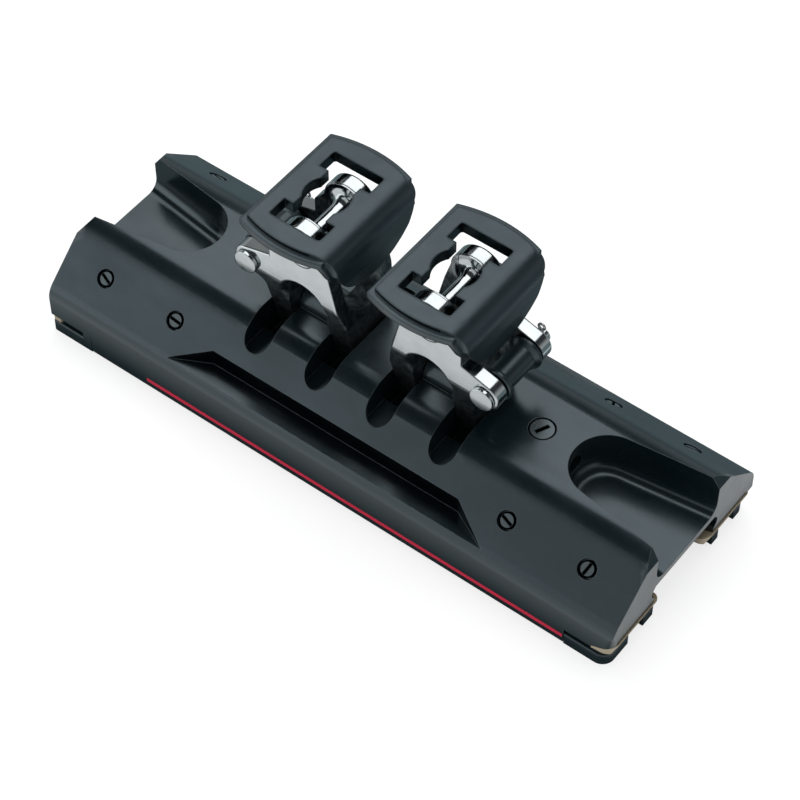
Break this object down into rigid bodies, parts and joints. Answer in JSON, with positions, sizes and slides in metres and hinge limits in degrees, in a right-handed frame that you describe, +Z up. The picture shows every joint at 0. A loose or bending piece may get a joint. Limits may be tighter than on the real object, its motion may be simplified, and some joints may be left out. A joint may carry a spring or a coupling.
{
  "type": "mainsheet traveller car",
  "caption": "Ball-bearing mainsheet traveller car: a long black milled body that rolls on a track, with polished toggles that swing sideways, each carrying a spool under a hood and a roller.",
  "frame": {"origin": "middle of the car in plan, at the underside of the end caps", "axes": "+X along the track, +Y across it towards the far side, +Z up out of the deck"},
  "size_m": [0.3569, 0.1232, 0.14],
  "materials": {
    "black_anodised": "satin black anodised",
    "black_plastic": "moulded, matt",
    "cream_plastic": "moulded bearing plastic",
    "ball_plastic": "ground bearing plastic",
    "red_stripe": "thin inlay",
    "polished_steel": "mirror polished stainless",
    "screw_steel": "plain stainless",
    "screw_black": "black anodised",
    "hood_plastic": "moulded, satin black"
  },
  "bodies": {
    "car": {"car_body": "black_anodised", "end_cap_right_far": "black_plastic", "end_cap_left_far": "black_plastic", "end_cap_right_near": "black_plastic", "end_cap_left_near": "black_plastic", "turn_plate_right_far": "cream_plastic", "turn_plate_left_far": "cream_plastic", "turn_plate_right_near": "cream_plastic", "turn_plate_left_near": "cream_plastic", "cap_screws": "screw_steel", "slope_screws": "screw_black", "centre_plugs": "screw_black", "hinge_rod_left": "screw_steel", "hinge_rod_right": "screw_steel", "balls_far": "ball_plastic", "balls_near": "ball_plastic", "ball_rails": "black_plastic", "side_stripes": "red_stripe"},
    "toggle_left": {"yoke_left": "polished_steel", "trunnions_left": "polished_steel", "spool_left": "polished_steel", "hood_left": "hood_plastic", "hood_screws_left": "screw_steel", "control_pin_left": "polished_steel", "split_pin_left": "screw_steel"},
    "toggle_right": {"yoke_right": "polished_steel", "trunnions_right": "polished_steel", "spool_right": "polished_steel", "hood_right": "hood_plastic", "hood_screws_right": "screw_steel", "control_pin_right": "polished_steel", "split_pin_right": "screw_steel"},
    "roller_left": {"roller_left": "black_plastic"},
    "roller_right": {"roller_right": "black_plastic"}
  },
  "joints": [
    {"name": "toggle_left_lean", "type": "hinge", "parent": "car", "child": "toggle_left", "pos_m": [-0.0385, 0, 0.046], "axis": [1, 0, 0], "range_deg": [-45, 45]},
    {"name": "toggle_right_lean", "type": "hinge", "parent": "car", "child": "toggle_right", "pos_m": [0.0385, 0, 0.046], "axis": [1, 0, 0], "range_deg": [-45, 45]},
    {"name": "roller_left_spin", "type": "hinge", "parent": "toggle_left", "child": "roller_left", "pos_m": [-0.0721, 0, 0.091], "axis": [0, 1, 0], "continuous": true},
    {"name": "roller_right_spin", "type": "hinge", "parent": "toggle_right", "child": "roller_right", "pos_m": [0.0721, 0, 0.091], "axis": [0, 1, 0], "continuous": true}
  ]
}
